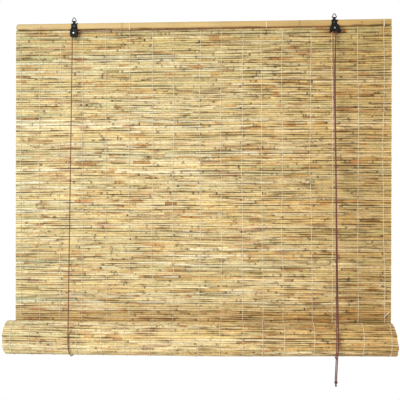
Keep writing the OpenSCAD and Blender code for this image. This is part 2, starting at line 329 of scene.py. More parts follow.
REED = reed_material()
BATTEN = batten_material()
STRING = thread_material("string", 0.9, 0.80, 1.10, 1500)
CORD = thread_material("cord", 0.55, 0.75, 1.20, 1300)
BLACK = metal_material("black_steel", (0.006, 0.006, 0.007), (0.016, 0.016, 0.018), 0.0, 0.55, 0.75, 900)
PULLEY = metal_material("pulley", (0.012, 0.011, 0.011), (0.028, 0.026, 0.024), 0.0, 0.40, 0.60, 700)
CAM = metal_material("cam", (0.020, 0.020, 0.021), (0.060, 0.058, 0.055), 0.6, 0.40, 0.62, 900)
RIVET = metal_material("rivet", (0.78, 0.78, 0.77), (0.60, 0.59, 0.57), 1.0, 0.22, 0.42, 1400)
NAIL = metal_material("nail", (0.16, 0.145, 0.13), (0.07, 0.05, 0.04), 0.8, 0.40, 0.65, 1200, 0.5)
STUD = metal_material("hanger_nail", (0.22, 0.22, 0.225), (0.10, 0.10, 0.10), 0.9, 0.40, 0.60, 1200, 0.5)
for m in (BLACK, PULLEY):
    m.node_tree.nodes["Principled BSDF"].inputs["Specular IOR Level"].default_value = 0.22

# ------------------------------------------------------------------ reeds
ANGLE = np.radians([0, 34, 62, 90, 132, 180, 228, 270, 298, 326])
SIDES = len(ANGLE)
GRID = np.linspace(-458, 458, 112)
TONES = [(0.40, lin(227, 209, 158)), (0.22, lin(238, 224, 184)), (0.22, lin(221, 199, 142)), (0.09, lin(208, 198, 146)), (0.07, lin(212, 182, 124))]
SHEATHS = [lin(204, 158, 90), lin(190, 138, 74), lin(208, 168, 106), lin(170, 146, 88), lin(214, 180, 118), lin(200, 144, 88), lin(164, 114, 62), lin(210, 172, 132)]
BROWN = lin(92, 62, 32)


class Field:
    """Rows of reeds: for each row, on GRID, its middle, its outward and along-the-mat directions, its half sizes and
    how strong the painted shade is along the edges beside it.
    """

    def __init__(self, n):
        z = lambda: np.zeros((n, len(GRID)))
        self.n = n
        self.cy, self.cz, self.uy, self.uz, self.wy, self.wz = z(), z(), z(), z(), z(), z()
        self.a, self.b, self.g0, self.g1 = z(), z(), z(), z()

    def at(self, k, x):
        return [np.interp(x, GRID, f[k]) for f in (self.cy, self.cz, self.uy, self.uz, self.wy, self.wz, self.a, self.b, self.g0, self.g1)]


def edges(n, pair_from, r):
    """How far each edge between two rows strays, on GRID, and how dark the painted shade along it is."""
    stray = np.zeros((n + 1, len(GRID)))
    gap = np.zeros((n + 1, len(GRID)))
    for k in range(n + 1):
        stray[k] = 0.28 * r.normal() + 0.40 * wander(GRID, 210, r) + 0.50 * wander(GRID, 60, r)
        between = (k - pair_from) % 2 == 0
        gap[k] = (0.52 if between else 0.17) + 0.34 * wander(GRID, 42, r) + 0.16 * wander(GRID, 150, r)
        for _ in range(r.poisson(9 if between else 5)):
            gap[k] += r.uniform(0.4, 1.0) * np.exp(-((GRID - r.uniform(-450, 450)) / r.uniform(6, 22)) ** 2)
    # more dashes of painted shade towards the right
    for k in range(n + 1):
        q = np.random.default_rng(9000 + 7 * n + k)
        for _ in range(q.poisson(4 if n == ROWS else 15)):
            gap[k] += q.uniform(0.4, 1.0) * np.exp(-((GRID - q.uniform(90, 455)) / q.uniform(6, 16)) ** 2)
        gap[k] += 0.26 * wander(GRID, 24, q)
    return np.clip(stray, -1.5, 1.5), np.clip(gap, 0, 1.25)


def thickness(n, total, r):
    """Rows of uneven thickness, in uneven pairs, that fill a given height."""
    pair = np.repeat(r.normal(size=n // 2 + 1), 2)[:n]
    w = np.clip(1 + 0.13 * pair + 0.17 * r.normal(size=n), 0.68, 1.4)
    return np.concatenate([[0], np.cumsum(w)]) * total / w.sum()


def panel_field():
    f = Field(ROWS)
    stray, gap = edges(ROWS, 3, rng)
    nominal = np.array([row_z(k) + PITCH / 2 for k in range(ROWS)] + [row_z(ROWS - 1) - PITCH / 2])
    nominal[3:] = nominal[3] - thickness(ROWS - 3, nominal[3] - nominal[ROWS], rng)
    low = lambda z: 0.55 * np.sin(2 * np.pi * (GRID / 520 + z / 900) + 1.1) + 0.4 * np.sin(2 * np.pi * (GRID / 310 - z / 400) + 2.0)
    keep = lambda k: 0.25 if k < 4 else 1.0
    lines = np.array([nominal[k] + keep(k) * stray[k] + keep(k) * low(nominal[k]) * (1 if k < ROWS - 3 else 0.3) for k in range(ROWS + 1)])
    lines[3] = BATTEN_BOT - 0.2 + 0.12 * np.sin(2 * np.pi * GRID / 230)
    lines[4] = np.maximum(lines[4], lines[3] - 6.4)
    gap[3] *= 0.35 + 0.65 * smooth(-320, -290, GRID)
    for k in range(ROWS):
        top, bot = lines[k], lines[k + 1]
        if k == 2:
            bot = top - PITCH
        half = np.clip((top - bot) / 2, 1.3, 4.6) + 0.10
        f.cz[k] = (top + bot) / 2
        f.b[k] = half
        f.a[k] = np.clip(0.35 * half + 1.45 + 0.12 * rng.normal() + 0.08 * wander(GRID, 120, rng), 1.9, 2.45)
        f.cy[k] = Y0 + 0.22 * np.clip(rng.normal(), -1.4, 1.4) + 0.16 * np.clip(wander(GRID, 140, rng), -1.5, 1.5)
        f.g0[k], f.g1[k] = gap[k], gap[k + 1]
    f.uy[:] = -1
    f.wz[:] = -1
    return f


LAYER = 4.8                     # one layer of mat in the roll


def spiral(s):
    """The middle of the rolled-up mat after a length s, as half circles: place in Y and Z from the roll's middle, outward direction, half turn."""
    rest = np.array(s, float, ndmin=1)
    half = np.zeros(len(rest), int)
    while True:
        rad = ROLL_R - LAYER / 2 * (1 + half)
        over = rest >= np.pi * rad
        if not over.any():
            break
        rest = np.where(over, rest - np.pi * rad, rest)
        half = half + over
    turn = rest / rad + np.pi * half
    mid = np.where(half % 2 == 1, -LAYER / 2, 0.0)
    return mid + rad * np.cos(turn), -rad * np.sin(turn), np.cos(turn), -np.sin(turn), turn, rad


def lean(x):
    """The roll is a little thinner and higher at its right end."""
    t = smooth(0, 450, x)
    return 1 - 0.04 * t, 3.0 * t


def roll_field(n):
    f = Field(n)
    stray, gap = edges(n, 1, rng)
    low = 0.6 * np.sin(2 * np.pi * GRID / 610 + 0.4) + 0.4 * np.sin(2 * np.pi * GRID / 370 + 2.2)
    even = thickness(n, PITCH * n, rng)
    lines = np.array([even[k] + stray[k] + low * min(1.0, k / 12) for k in range(n + 1)])
    thin, rise = lean(GRID)
    for k in range(n):
        s0, s1 = lines[k], lines[k + 1]
        half = np.clip((s1 - s0) / 2, 1.3, 4.4) + 0.12
        y, z, uy, uz, turn, rad = spiral(np.maximum((s0 + s1) / 2, 0.2))
        out = np.clip(0.12 * rng.normal() + 0.09 * wander(GRID, 140, rng), -0.4, 0.05)
        up = rise * min(1.0, k / 6)
        f.cy[k] = ROLL_Y + y * thin + uy * out
        f.cz[k] = ROLL_Z + z * thin + uz * out + up
        f.uy[k], f.uz[k] = uy, uz
        f.wy[k], f.wz[k] = uz, -uy
        f.a[k] = np.clip(0.35 * half + 1.42 + 0.10 * rng.normal(), 1.85, 2.2)
        f.b[k] = half
        f.g0[k], f.g1[k] = gap[k], gap[k + 1]
    return f


def tint_and_shade_across(x):
    """The mat is paler at its left and darker and browner at its right: partly its own browner tone, partly painted
    shade falling off to the right.
    """
    t = smooth(-120, 450, x)[:, None]
    u = smooth(230, 430, x)[:, None]
    v = 1 - smooth(-430, -330, x)[:, None]
    return ((1 - t) + t * np.array([0.98, 0.88, 0.74])) * ((1 - u) + u * np.array([0.86, 0.83, 0.77])) * (1 - v * np.array([0.08, 0.05, 0.02]))


def reed(pile, field, k, x0, x1, r, lead, step=10.0, wear_and_shade=1.0):
    """One reed of row k from x0 to x1. lead says which of its ends lies in front of the next reed."""
    length = x1 - x0
    xs = [np.linspace(x0, x1, max(4, int(length / step) + 1))]
    joints = []
    x = x0 + r.uniform(15, 90)
    while x < x1 - 10:
        joints.append(x)
        xs.append(x + np.array([-1.6, 0.0, 1.6]))
        x += r.uniform(40, 135)
    for e, s in ((x0, 1), (x1, -1)):
        xs.append(np.array([e + s * 2.0, e + s * 4.5]))
    marks = []
    for _ in range(r.poisson(length / 105.0)):
        mx, ml = r.uniform(x0 + 8, x1 - 8), r.uniform(2.5, 10)
        marks.append((mx, ml, r.uniform(0.2, 0.75)))
        xs.append(mx + np.array([-ml / 2, -ml / 6, ml / 6, ml / 2]))
    xs = np.unique(np.round(np.clip(np.concatenate(xs), x0, x1), 2))
    cy, cz, uy, uz, wy, wz, a, b, g0, g1 = field.at(k, xs)
    # colour along the reed
    w = np.array([q[0] for q in TONES])
    base = TONES[r.choice(len(TONES), p=w / w.sum())][1]
    c = np.repeat(base[None, :], len(xs), 0)
    light = 1 + 0.05 * r.normal() + 0.075 * wander(xs, 18, r) + 0.07 * wander(xs, 55, r)
    c = c * np.clip(light, 0.70, 1.24)[:, None]
    # each length between two joints has a shade of its own
    own = np.random.default_rng([k, int(round((x0 + 500) * 100)), field.n])
    for j in joints:
        if own.random() < 0.65:
            soft = own.choice([1.2, 5.0, 14.0])
            weight = smooth(-soft, soft, xs - j) * own.uniform(0.35, 0.95)
            c = c * (1 - weight[:, None]) + TONES[own.choice(len(TONES), p=w / w.sum())][1] * own.uniform(0.92, 1.08) * weight[:, None]
    warm = 0.05 * r.normal() + 0.05 * wander(xs, 110, r)
    c = c * np.stack([1 + 0.3 * warm, 1 - 0.15 * warm, 1 - warm], 1)
    swell = np.zeros(len(xs))
    for j in joints:
        d = xs - j
        if r.random() < 0.62:
            side, reach = r.choice([-1, 1]), r.uniform(14, 34) if r.random() < 0.55 else r.uniform(34, 85)
            u = d * side
            edge = own.choice([0.9, 3.0, 8.0])
            weight = smooth(-edge, edge, u) * (1 - smooth(0.45 * reach, reach, u)) * r.uniform(0.30, 0.95)
            tone = SHEATHS[r.integers(len(SHEATHS))]
            c = c * (1 - weight[:, None]) + tone * weight[:, None]
        dark = np.exp(-(d / 1.4) ** 2) * (r.uniform(0.1, 0.4) if r.random() < 0.7 else r.uniform(0.5, 0.9))
        c = c * (1 - dark[:, None]) + BROWN * dark[:, None]
        swell += np.exp(-(d / 2.6) ** 2)
    for mx, ml, ms in marks:
        weight = (1 - smooth(0.25 * ml, 0.55 * ml, np.abs(xs - mx))) * ms
        c = c * (1 - weight[:, None]) + BROWN * 1.15 * weight[:, None]
    for e, s in ((x0, -1), (x1, 1)):
        if abs(e) < 440 and r.random() < 0.75:
            weight = (1 - smooth(2.0, 6.0, np.abs(xs - e))) * r.uniform(0.5, 0.95)
            c = c * (1 - weight[:, None]) + BROWN * 0.7 * weight[:, None]
    # the mat's tone across, with painted shade towards the right, times the row's own stains, tone and painted shade
    c = c * tint_and_shade_across(xs) * (wear_and_shade(xs) if callable(wear_and_shade) else wear_and_shade)
    # where two reeds of a row meet, one lies in front of the other
    shift = np.zeros(len(xs))
    for e, s in ((x0, -1), (x1, 1)):
        if abs(e) < 440:
            shift += (1 - smooth(0, 55, np.abs(xs - e))) * (0.55 if lead == s else -0.55)
    cy = cy + uy * shift
    cz = cz + uz * shift
    a = a * (1 + 0.07 * swell)
    b = b * (1 + 0.02 * swell)
    co, si = np.cos(ANGLE), np.sin(ANGLE)
    P = np.stack([xs, cy, cz], 1)
    U = np.stack([0 * xs, uy, uz], 1)
    W = np.stack([0 * xs, wy, wz], 1)
    R = P[:, None] + U[:, None] * (a[:, None] * co)[..., None] + W[:, None] * (b[:, None] * si)[..., None]
    # painted shade: dark lines where it lies against its neighbours, darker and browner the stronger the painted shade
    # of the edge beside it, and a small painted highlight along its front and back
    near = np.abs(si)
    g = np.where(si[None, :] > 0, g1[:, None], g0[:, None])
    g1u = np.minimum(g, 1.0)
    line = np.where(near > 0.95, 1 - (0.30 + 0.64 * g1u), np.where(near > 0.8, 1 - 0.74 * g1u ** 1.4,
           np.where(near > 0.4, 1 - 0.10 * g1u - 0.45 * np.clip((g - 0.75) / 0.5, 0, 1), 1.04)))
    C = c[:, None] * line[..., None]
    C = C * np.minimum(line, 1.0)[..., None] ** np.array([0.0, 0.12, 0.30])
    flip = (uy[0] * wz[0] - uz[0] * wy[0]) < 0
    pile.rings(R, C, flip)
    # hollow ends, painted darker inward and nearly black at the bottom of the hollow, as painted shade
    cut = c[[0, -1]] * 0.8
    for e, s in ((0, -1), (-1, 1)):
        ring = R[e]
        mid = P[e]
        wall = mid + (ring - mid) * 0.58
        deep = mid + (ring - mid) * 0.5 - np.array([s * min(5.0, length / 4), 0, 0])
        rings = np.stack([ring, wall, deep])
        tone = np.stack([np.repeat((cut[e] * q)[None], SIDES, 0) for q in (0.9, 0.75, 0.10)])
        if s < 0:
            rings, tone = rings[::-1], tone[::-1]
        pile.rings(rings, tone, flip, cap=(s < 0, s > 0))


def lay_row(pile, field, k, left, right, r, joins, step=10.0, wear_and_shade=1.0):
    cuts = [left]
    for _ in range(joins):
        x = r.uniform(left + 70, right - 70)
        if min(abs(x - q) for q in cuts) > 80:
            cuts.append(x)
    cuts = sorted(cuts) + [right]
    lead = 1
    for i in range(len(cuts) - 1):
        x0 = cuts[i] - (r.uniform(2, 7) if i else 0)
        x1 = cuts[i + 1] + (r.uniform(2, 7) if i < len(cuts) - 2 else 0)
        reed(pile, field, k, x0, x1, r, lead if r.random() < 0.8 else -lead, step, wear_and_shade)


PANEL = panel_field()
TURNS = 54                      # rows in the outer turn of the roll and a little more
ROLL = roll_field(TURNS)

top = Pile()
for k in range(3):
    lay_row(top, PANEL, k, -449 + rng.uniform(-1, 1), 449 + rng.uniform(-1, 1), rng, 1, 22.0)
reed_top = top.build("reed_top", REED, "head")

def rust_spots(k):
    """Rust-brown spots on the first two rows, left of the left hanger, on rows made a little darker all along."""
    spots = {3: [(-398, -376, 0.75), (-432, -410, 0.45)], 4: [(-424, -404, 0.7)]}.get(k, [])

    def wear_and_shade(x):
        c = np.ones((len(x), 3)) * np.array([0.89, 0.89, 0.82])
        for x0, x1, much in spots:
            w = (smooth(x0 - 5, x0 + 5, x) * (1 - smooth(x1 - 5, x1 + 5, x)) * much)[:, None]
            c = c * (1 - w * np.array([0.42, 0.62, 0.76]))
        return c
    return wear_and_shade


panel_pieces = []
spans = [(3, 42), (42, 80), (80, 118), (118, ROWS)]
for i, (k0, k1) in enumerate(spans):
    pile = Pile()
    for k in range(k0, k1):
        # painted shade: the rows just above the roll are painted darker and browner, as the roll's shadow on them; the
        # upper rows get darker towards the top
        t = float(smooth(-684, -708, row_z(k)))
        u = float(smooth(-270, -40, row_z(k)))
        lay_row(pile, PANEL, k, -449.6 + rng.uniform(-0.4, 0.4), 450.0 + 3.4 * (1 - k / ROWS) + rng.uniform(-0.4, 0.4), rng,
                rng.choice([0, 1, 2, 3], p=[0.10, 0.34, 0.36, 0.20]), 24.0 if k > ROWS - 14 else 14.0, rust_spots(k) if k < 5 else (1 - t * np.array([0.16, 0.26, 0.38])) * (1 - u * np.array([0.13, 0.13, 0.20])))
    o = pile.build("reed_rows_%d" % (i + 1), REED, "head")
    panel_pieces.append(o)
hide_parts("reed_panel")



def end_right(turn):
    """The turns have run to one side, so the roll's right end is slanted. Only the start of its outer turn is level with the mat."""
    return 451.5 if turn < 0.5 * math.pi else 447.6 + 4.3 * math.cos(turn - 0.62 * math.pi)


def warm_right(x):
    t, u = smooth(-420, -100, x)[:, None], smooth(120, 400, x)[:, None]
    return ((1 - t) + t * np.array([1.05, 1.02, 0.97])) * ((1 - u) + u * np.array([0.98, 0.94, 0.89]))


pile = Pile()
for k in range(TURNS):
    turn = float(spiral(PITCH * (k + 0.5))[4][0])
    lay_row(pile, ROLL, k, -456.0 + rng.uniform(-0.8, 1.0), end_right(turn) + rng.uniform(-0.8, 0.8), rng,
            rng.choice([0, 1, 2, 3], p=[0.10, 0.34, 0.36, 0.20]), 14.0 if 6 < k < 50 else 24.0, warm_right)
roll_outer = pile.build("roll_reeds", REED, "roll")
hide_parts("reed_roll")

# the inner turns, which show at the ends
pile = Pile()
s = PITCH * TURNS + PITCH / 2
side8 = 2 * np.pi * np.arange(8) / 8
while True:
    y, z, uy, uz, turn, rad = [float(q[0]) for q in spiral(s)]
    if rad < 14.0:
        break
    a = 2.25 + 0.12 * np.clip(rng.normal(), -1.5, 1.2)
    x0 = -456.0 + rng.uniform(-0.6, 1.6)
    x1 = end_right(turn) + rng.uniform(-1.6, 0.4)
    xs = np.linspace(x0, x1, 5)
    thin, rise = lean(xs)
    P = np.stack([xs, ROLL_Y + y * thin, ROLL_Z + z * thin + rise], 1)
    ring = np.stack([0 * side8, np.cos(side8) * a, np.sin(side8) * a], 1)
    R = P[:, None] + ring[None]
    base = TONES[rng.integers(len(TONES))][1] * rng.uniform(0.75, 1.0)
    C = np.repeat(np.repeat(base[None, None], len(xs), 0), 8, 1)
    pile.rings(R, C)
    for e, sgn in ((0, -1), (-1, 1)):
        deep = P[e] + ring * 0.48 - np.array([sgn * 5.0, 0, 0])
        rr3 = np.stack([R[e], P[e] + ring * 0.58, deep])
        # the hollow ends are painted darker inward, nearly black at the bottom, as painted shade
        tone = np.stack([np.repeat((base * q)[None], 8, 0) for q in (0.75, 0.62, 0.08)])
        if sgn < 0:
            rr3, tone = rr3[::-1], tone[::-1]
        pile.rings(rr3, tone, False, cap=(sgn < 0, sgn > 0))
    s += PITCH
roll_inner = pile.build("roll_core_reeds", REED, "roll")


# ------------------------------------------------------------------ strings, cords
def frames(P):
    """Tangents and two cross directions along a line of points, without twist."""
    T = np.gradient(P, axis=0)
    T /= np.linalg.norm(T, axis=1)[:, None]
    n = np.zeros_like(P)
    b = np.zeros_like(P)
    ref = np.array([0, 1.0, 0]) if abs(T[0][1]) < 0.9 else np.array([1.0, 0, 0])
    u = np.cross(T[0], ref)
    u /= np.linalg.norm(u)
    for i in range(len(P)):
        u = u - T[i] * (u @ T[i])
        u /= np.linalg.norm(u)
        n[i] = u
        b[i] = np.cross(T[i], u)
    return T, n, b


def spline(points, gap):
    """A smooth line through points, with a point about every gap."""
    p = np.asarray(points, float)
    q = np.vstack([2 * p[0] - p[1], p, 2 * p[-1] - p[-2]])
    out = []
    for i in range(1, len(q) - 2):
        m = max(1, int(np.ceil(np.linalg.norm(q[i + 1] - q[i]) / gap)))
        for t in np.arange(m) / m:
            out.append(0.5 * (2 * q[i] + (q[i + 1] - q[i - 1]) * t + (2 * q[i - 1] - 5 * q[i] + 4 * q[i + 1] - q[i + 2]) * t * t
                              + (3 * q[i] - q[i - 1] - 3 * q[i + 1] + q[i + 2]) * t ** 3))
    out.append(p[-1])
    return np.array(out)


def yarn(pile, P, radius, colour, sides=6, r=rng):
    T, n, b = frames(P)
    t = 2 * np.pi * np.arange(sides) / sides
    rad = radius * (1 + 0.10 * wander(np.arange(len(P), dtype=float), 3.0, r))
    R = P[:, None] + (n[:, None] * np.cos(t)[None, :, None] + b[:, None] * np.sin(t)[None, :, None]) * rad[:, None, None]
    tone = 1 + 0.07 * wander(np.arange(len(P), dtype=float), 6.0, r)
    C = np.repeat((colour[None] * np.clip(tone, 0.7, 1.15)[:, None])[:, None], sides, 1)
    pile.rings(R, C, False, cap=(True, True))


def twist(P, radius, colour, lay=9.0, strands=3, sides=12, r=rng):
    """A twisted cord: strands that wind round its middle line, painted darker in the grooves between them as painted
    shade.
    """
    T, n, b = frames(P)
    t = 2 * np.pi * np.arange(sides) / sides
    d = np.concatenate([[0], np.cumsum(np.linalg.norm(np.diff(P, axis=0), axis=1))])
    wave = np.cos(strands * (t[None, :] - 2 * np.pi * d[:, None] / (lay * strands)))
    rad = radius * (0.91 + 0.09 * wave)
    R = P[:, None] + (n[:, None] * np.cos(t)[None, :, None] + b[:, None] * np.sin(t)[None, :, None]) * rad[..., None]
    tone = np.clip(1 + 0.10 * wander(d, 14, r) + 0.06 * wander(d, 60, r), 0.7, 1.3)
    # painted shade: darker colour in the grooves between the strands
    return R, colour[None, None] * tone[:, None, None] * (0.70 + 0.30 * wave)[..., None]


def rope(pile, P, radius, colour, lay=9.0):
    R, C = twist(P, radius, colour, lay)
    pile.rings(R, C, False, cap=(True, True))


# the strings' cream, and a darker copy of it for the strings at the left, as painted shade
CREAM = lin(239, 228, 198)
CREAM_SHADED = lin(230, 219, 190)


def weave(pile, field, rows, x_at, radius, sides=5):
    """Two strings that cross between each pair of rows, one in front and one behind."""
    for strand in (0, 1):
        pts = []
        for j in range(len(rows) // 2):
            side = 1.0 if (j + strand) % 2 == 0 else -1.0
            up, lo = rows[2 * j], rows[2 * j + 1]
            x = x_at(up)
            jog = 0.42 * (1 if strand else -1)
            for k, first in ((up, True), (lo, False)):
                cy, cz, uy, uz, wy, wz, a, b, g0, g1 = [float(q) for q in field.at(k, x)]
                if first:
                    pts.append([x - jog, cy - wy * b * 1.0, cz - wz * b * 1.0])
                    pts.append([x, cy + uy * side * (a * 0.80 + 0.40) - wy * b * 0.66, cz + uz * side * (a * 0.80 + 0.40) - wz * b * 0.66])
                    pts.append([x + jog * 0.4, cy + uy * side * (a + 0.42), cz + uz * side * (a + 0.42)])
                else:
                    pts.append([x + jog * 0.8, cy + uy * side * (a + 0.42), cz + uz * side * (a + 0.42)])
                    pts.append([x + jog, cy + uy * side * (a * 0.80 + 0.40) + wy * b * 0.66, cz + uz * side * (a * 0.80 + 0.40) + wz * b * 0.66])
        # strings at the left are painted darker, as painted shade
        yarn(pile, np.array(pts), radius, CREAM_SHADED + (CREAM - CREAM_SHADED) * float(smooth(-250, 150, x_at(rows[0]))), sides)


def drift(x, seed):
    r = np.random.default_rng(seed)
    k = np.arange(0, 400, dtype=float)
    n = 1.3 * wander(k, 34, r) + 0.5 * wander(k, 9, r)
    return lambda row: float(np.clip(x + n[row], -446, 446))


pile = Pile()
for i, x in enumerate(STRINGS):
    weave(pile, PANEL, list(range(3, ROWS)), drift(x, 100 + i), 0.62)
panel_strings = pile.build("panel_strings_twined", STRING, "head")
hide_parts("panel_strings")

pile = Pile()
for i, x in enumerate(STRINGS):
    weave(pile, ROLL, list(range(1, TURNS - 1)), drift(x, 200 + i), 0.60)
roll_strings = pile.build("roll_strings_twined", STRING, "roll")
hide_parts("roll_strings")

# ------------------------------------------------------------------ cords
# one cord in two painted tones: the right lift cord is painted lighter and pinker as a painted highlight, the pull
# strands, their knot and frayed ends darker and redder as painted shade
RED_BROWN_LIT = lin(172, 112, 92)
DARK_BROWN = lin(144, 86, 56)
MAROON_SHADED = lin(120, 50, 35)


def line(a, b, gap=1.2):
    m = max(2, int(np.linalg.norm(np.subtract(b, a)) / gap) + 1)
    t = np.linspace(0, 1, m)[:, None]
    return np.asarray(a, float) * (1 - t) + np.asarray(b, float) * t


reach = math.hypot(GROOVE_Y - ROLL_Y, PIN_Z - ROLL_Z)
touch = math.atan2(PIN_Z - ROLL_Z, GROOVE_Y - ROLL_Y) + math.acos(SLING_R / reach)
TOUCH_Y, TOUCH_Z = ROLL_Y + SLING_R * math.cos(touch), ROLL_Z + SLING_R * math.sin(touch)
STRAND_A = np.array([RIGHT_X + GROOVE_R, GROOVE2_Y, PIN_Z])
STRAND_B = np.array([RIGHT_X + GROOVE_R, GROOVE_Y, PIN_Z])
KNEE_A = np.array([316.0, Y0 - 26.5, -115.0])
KNEE_B = np.array([317.3, Y0 - 23.2, -115.0])
LOW_A = np.array([313.9, Y0 - 89.4, ROLL_Z])
LOW_B = np.array([311.0, Y0 - 87.2, ROLL_Z])
END_Z = ROLL_Z - 82
END_A = np.array([310.2, Y0 - 86.6, END_Z])
END_B = np.array([307.4, Y0 - 86.6, END_Z])


def cord_piece(name, P, colour, body, node, squash_at=None):
    pile = Pile()
    rope(pile, P, CORD_R, colour)
    o = pile.build(name, CORD, body)
    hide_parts(node)
    if squash_at is not None:
        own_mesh(o)
    return o


def cord_run(name, P, colour, node, leave, radius, arcs, bends=()):
    """A cord from its pulley to the front of the roll, cut into pieces: one above leave, then pieces cut at the depths
    of points on a straight line to a circle of this radius round the raised roll and along that circle. Each piece
    comes back with its middle line."""
    depth = lambda y: np.array([np.interp(-y, -P[:, 1], P[:, k]) for k in range(3)])
    ye = float(np.interp(-leave, -P[:, 2], P[:, 1]))
    dy, dz = ye - ROLL_Y, leave - ROLL_Z - LIFT
    a0 = math.atan2(dz, dy) + math.acos(radius / math.hypot(dy, dz))
    ya = np.linspace(ROLL_Y + radius * math.cos(a0), P[-1, 1], arcs + 1)
    za = ROLL_Z + LIFT + np.sqrt(np.maximum(radius ** 2 - (ya - ROLL_Y) ** 2, 0))
    yb = np.array(list(bends))
    marks = [(ye, leave)] + list(zip(yb, np.interp(-yb, [-ye, -ya[0]], [leave, za[0]]))) + list(zip(ya, za))
    Q = np.vstack([P] + [depth(y)[None] for y, _ in marks[:-1]])
    Q = Q[np.argsort(-Q[:, 1], kind="stable")]
    Q = Q[np.concatenate([[True], np.linalg.norm(np.diff(Q, axis=0), axis=1) > 1e-6])]
    R, C = twist(Q, CORD_R, colour)
    at = [0] + [int(np.argmin(abs(Q[:, 1] - y))) for y, _ in marks]
    made = []
    for i in range(len(marks)):
        pile = Pile()
        pile.rings(R[at[i]:at[i + 1] + 1], C[at[i]:at[i + 1] + 1], False, cap=(True, True))
        o = pile.build(f"{name}_{i + 1}", CORD, "head")
        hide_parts(node)
        if i:
            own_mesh(o)
        made.append((o, Q[at[i]:at[i + 1] + 1]))
    return made


for side, hx, hz, cx, colour in (("left", LEFT_X, LEFT_PIN_Z, LEFT_CORD_X, DARK_BROWN), ("right", RIGHT_X, PIN_Z, RIGHT_CORD_X, RED_BROWN_LIT)):
    cord_run(side + "_lift_cord_front", line((hx - GROOVE_R, GROOVE_Y, hz), (cx, TOUCH_Y, TOUCH_Z)), colour, side + "_cord_front", -47.5, SLING_R, 4)
    a = np.radians(np.linspace(math.degrees(touch), 360, 150))
    cord_piece(side + "_lift_cord_sling", np.stack([0 * a + cx, ROLL_Y + SLING_R * np.cos(a), ROLL_Z + SLING_R * np.sin(a)], 1), colour, "slings", side + "_cord_sling")
    run = cord_piece(side + "_lift_cord_back", line((cx, BACK_Y, BATTEN_BOT), (cx, BACK_Y, ROLL_Z)), colour, "head", side + "_cord_back", BATTEN_BOT)
    pile = Pile()
    rope(pile, line((cx, BACK_Y, BATTEN_TOP + 0.5), (cx, BACK_Y, BATTEN_BOT)), CORD_R, colour)
    # the stop knot on top of the back batten
    t = np.linspace(0, 2 * np.pi, 90)
    K = np.stack([(np.sin(t) + 2 * np.sin(2 * t)) * 0.62 + cx, (np.cos(t) - 2 * np.cos(2 * t)) * 0.62 + BACK_Y, -np.sin(3 * t) * 1.15 + BATTEN_TOP + 2.4], 1)
    rope(pile, K, 1.1, colour, 6.0)
    o = pile.build(side + "_lift_cord_knot", CORD, "head")
    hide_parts(side + "_cord_knot")

arc = lambda hx, hz, gy, d0, d1: [[hx + GROOVE_R * math.cos(math.radians(d)), gy, hz + GROOVE_R * math.sin(math.radians(d))] for d in np.linspace(d0, d1, 14)]
over = np.array(arc(LEFT_X, LEFT_PIN_Z, GROOVE_Y, 180, 90)[:-1] + line((LEFT_X, GROOVE_Y, LEFT_PIN_Z + GROOVE_R), (RIGHT_X, GROOVE2_Y, PIN_Z + GROOVE_R)).tolist()
                + arc(RIGHT_X, PIN_Z, GROOVE2_Y, 90, 0)[1:])
cord_piece("left_lift_cord_cross", over, DARK_BROWN, "head", "left_cord_cross")
cord_piece("right_lift_cord_bend", np.array(arc(RIGHT_X, PIN_Z, GROOVE_Y, 180, 0)), RED_BROWN_LIT, "head", "right_cord_bend")

# the knot at the end of the two pull strands, with their frayed ends
KNOT = (END_A + END_B) / 2 - np.array([0, 0, 4.2])
pile = Pile()
t = np.linspace(0, 2 * np.pi, 120)
K = np.stack([(np.sin(t) + 2 * np.sin(2 * t)) * 0.95 + KNOT[0], -np.sin(3 * t) * 1.5 + KNOT[1], (np.cos(t) - 2 * np.cos(2 * t)) * 1.15 + KNOT[2]], 1)
rope(pile, K, 1.25, MAROON_SHADED, 7.0)
for tip in (END_A, END_B):
    rope(pile, spline([tip, tip - np.array([0, 0, 1.5]), KNOT + np.array([0, 0, 1.5])], 0.7), 1.2, MAROON_SHADED, 7.0)
fray = np.random.default_rng(5)
for i in range(26):
    w = fray.uniform(0, 2 * np.pi)
    q = fray.uniform(0.2, 1.0)
    root = KNOT + np.array([0.8 * q * math.cos(w), 0.8 * q * math.sin(w), -2.6])
    tip = root + np.array([1.7 * q * math.cos(w), 1.7 * q * math.sin(w), -fray.uniform(4.0, 6.8)])
    yarn(pile, spline([root, (root + tip) / 2 + fray.normal(size=3) * 0.25, tip], 1.0), 0.28, MAROON_SHADED * fray.uniform(0.7, 1.25), 5, fray)
knot = pile.build("pull_cord_knot", CORD, "pull_end")
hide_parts("pull_knot")

def strand(s0, knee, low):
    """Straight from the pulley, round the bend where the strands come together, and straight down to the roll."""
    p, q = knee + 0.4 * (s0 - knee), knee + 0.05 * (low - knee)
    t = np.linspace(0, 1, 40)[:, None]
    return np.vstack([line(s0, p)[:-1], (1 - t) ** 2 * p + 2 * t * (1 - t) * knee + t * t * q, line(q, low)[1:]])


for tag, s0, knee, low, end in (("a", STRAND_A, KNEE_A, LOW_A, END_A), ("b", STRAND_B, KNEE_B, LOW_B, END_B)):
    held, *free = cord_run("pull_strand_upper_" + tag, strand(s0, knee, low), MAROON_SHADED, "pull_cord_upper", -43.0, ROLL_Y - low[1], 2, [knee[1]])
    for o, P in free:
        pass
    P = line(low, end, 1.0)
    pile = Pile()
    rope(pile, P, CORD_R, MAROON_SHADED)
    dn = pile.build("pull_strand_lower_" + tag, CORD, None)
    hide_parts("pull_cord_lower")
    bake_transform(dn)

